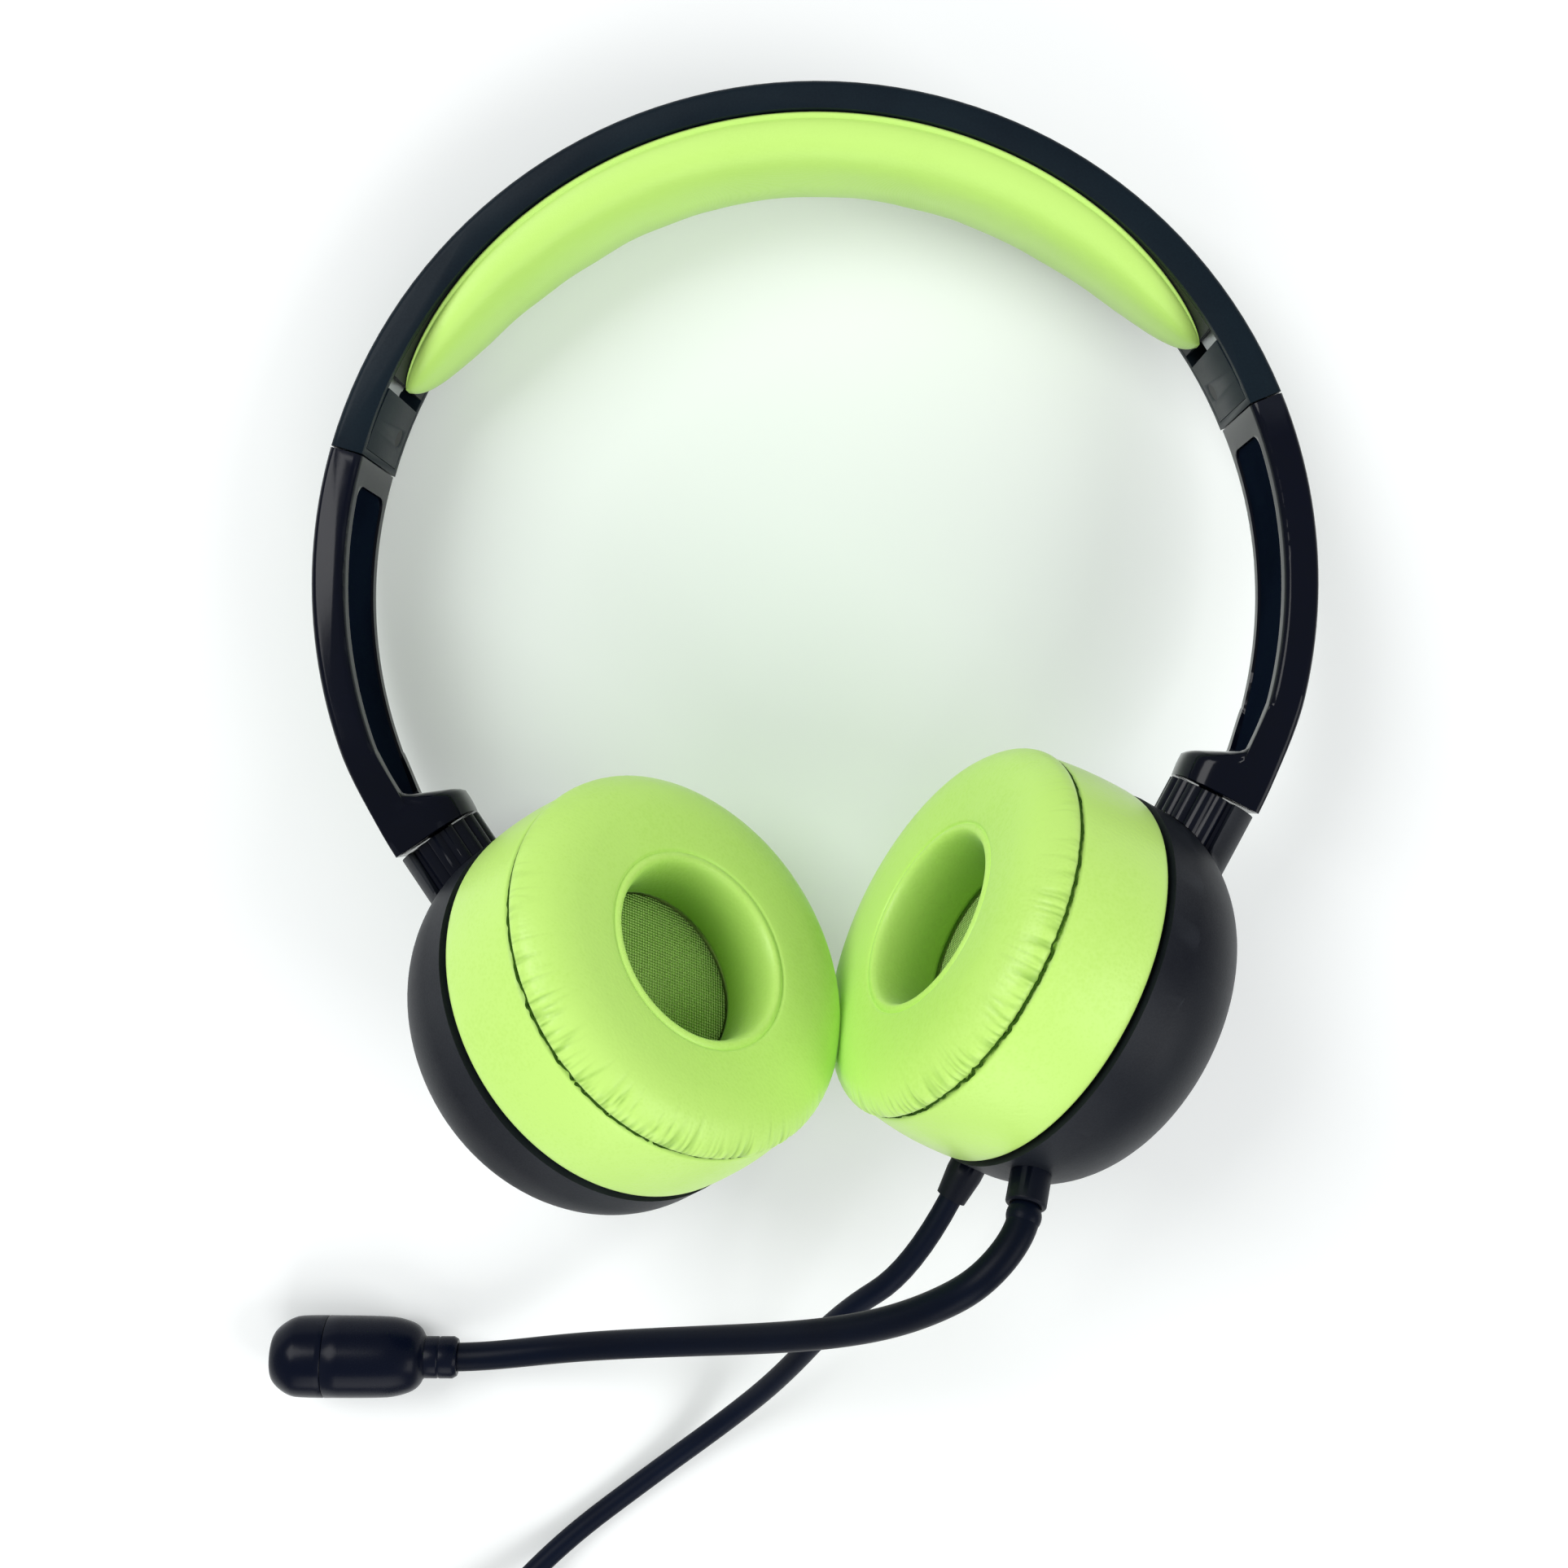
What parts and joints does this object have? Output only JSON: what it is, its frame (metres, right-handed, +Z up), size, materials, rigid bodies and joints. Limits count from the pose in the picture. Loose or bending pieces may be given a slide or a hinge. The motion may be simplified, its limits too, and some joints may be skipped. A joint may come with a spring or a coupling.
{
  "type": "wired on-ear headset with boom microphone",
  "caption": "Light wired on-ear headset: padded sliding headband, swivelling round cups with soft leather-like cushions, a bendable boom microphone and a coiled cable with a jack plug.",
  "frame": {"origin": "on the table under the middle of the object, its cord left out", "axes": "+Z up from the table it lies on, +Y towards the top of the headband, +X towards the cup with the boom and the cable"},
  "size_m": [0.185, 0.3397, 0.0679],
  "materials": {
    "band_plastic": "satin black moulded plastic",
    "arm_plastic": "glossy black moulded plastic",
    "panel_plastic": "matte black",
    "shell_plastic": "matte charcoal black",
    "pad_fabric": "lime-green satin cloth",
    "cushion_leather": "lime-green artificial leather",
    "speaker_cloth": "olive-green open weave",
    "steel": "cold-rolled",
    "spring_steel": "hardened",
    "copper_wire": "insulated wire",
    "inner_plastic": "moulded",
    "magnet": "nickel-plated",
    "membrane": "polyester film",
    "board": "glass-fibre board",
    "boom_rubber": "satin black",
    "boot_rubber": "satin black",
    "cable_rubber": "satin black",
    "mic_plastic": "satin black",
    "contact_metal": "gold-plated",
    "insulator": "moulded",
    "nylon": "hook-and-loop strap"
  },
  "bodies": {
    "band": {"headband_shell": "band_plastic", "headband_pad": "pad_fabric", "pad_backing": "inner_plastic", "headband_spring": "spring_steel", "crossover_wire": "copper_wire", "band_end_screws": "steel", "band_end_cover_left": "band_plastic", "detent_leaf_left": "spring_steel", "band_end_cover_right": "band_plastic", "detent_leaf_right": "spring_steel"},
    "left_arm": {"arm_shell_left": "arm_plastic", "arm_panel_left": "panel_plastic", "slider_strip_left": "steel"},
    "left_cup": {"cup_shell_left": "shell_plastic", "swivel_barrel_left": "arm_plastic", "swivel_clip_left": "spring_steel", "baffle_left": "inner_plastic", "cup_screws_left": "steel", "driver_frame_left": "inner_plastic", "driver_magnet_left": "magnet", "diaphragm_left": "membrane", "speaker_cloth_left": "speaker_cloth", "cushion_ring_left": "inner_plastic", "ear_cushion_left": "cushion_leather"},
    "right_arm": {"arm_shell_right": "arm_plastic", "arm_panel_right": "panel_plastic", "slider_strip_right": "steel"},
    "right_cup": {"cup_shell_right": "shell_plastic", "swivel_barrel_right": "arm_plastic", "swivel_clip_right": "spring_steel", "baffle_right": "inner_plastic", "cup_screws_right": "steel", "driver_frame_right": "inner_plastic", "driver_magnet_right": "magnet", "diaphragm_right": "membrane", "speaker_cloth_right": "speaker_cloth", "cushion_ring_right": "inner_plastic", "ear_cushion_right": "cushion_leather", "boom_boot": "boot_rubber", "cable_boot": "boot_rubber", "terminal_board": "board", "cable": "cable_rubber", "cable_coil": "cable_rubber", "cable_tie": "nylon", "plug_boot": "cable_rubber", "plug_body": "mic_plastic", "jack_contacts": "contact_metal", "jack_insulators": "insulator"},
    "boom": {"boom_tube": "boom_rubber", "mic_collar": "mic_plastic", "mic_housing": "mic_plastic", "mic_cap": "mic_plastic", "mic_element": "steel"}
  },
  "joints": [
    {"name": "left_slide", "type": "slide", "parent": "band", "child": "left_arm", "axis": [-0.4986, -0.8646, 0.062], "range_m": [0, 0.02]},
    {"name": "left_swivel", "type": "hinge", "parent": "left_arm", "child": "left_cup", "pos_m": [-0.05291, -0.00769, 0.02068], "axis": [0.5086, -0.8523, 0.1218], "range_deg": [-37, 53]},
    {"name": "right_slide", "type": "slide", "parent": "band", "child": "right_arm", "axis": [0.4875, -0.8646, 0.1218], "range_m": [0, 0.02]},
    {"name": "right_swivel", "type": "hinge", "parent": "right_arm", "child": "right_cup", "pos_m": [0.07468, -0.00769, 0.02842], "axis": [0.5196, 0.8523, -0.0594], "range_deg": [-20, 70]},
    {"name": "boom_swing", "type": "hinge", "parent": "right_cup", "child": "boom", "pos_m": [0.03649, -0.06754, 0.05597], "axis": [0, 0, 1], "range_deg": [-12, 14]}
  ]
}
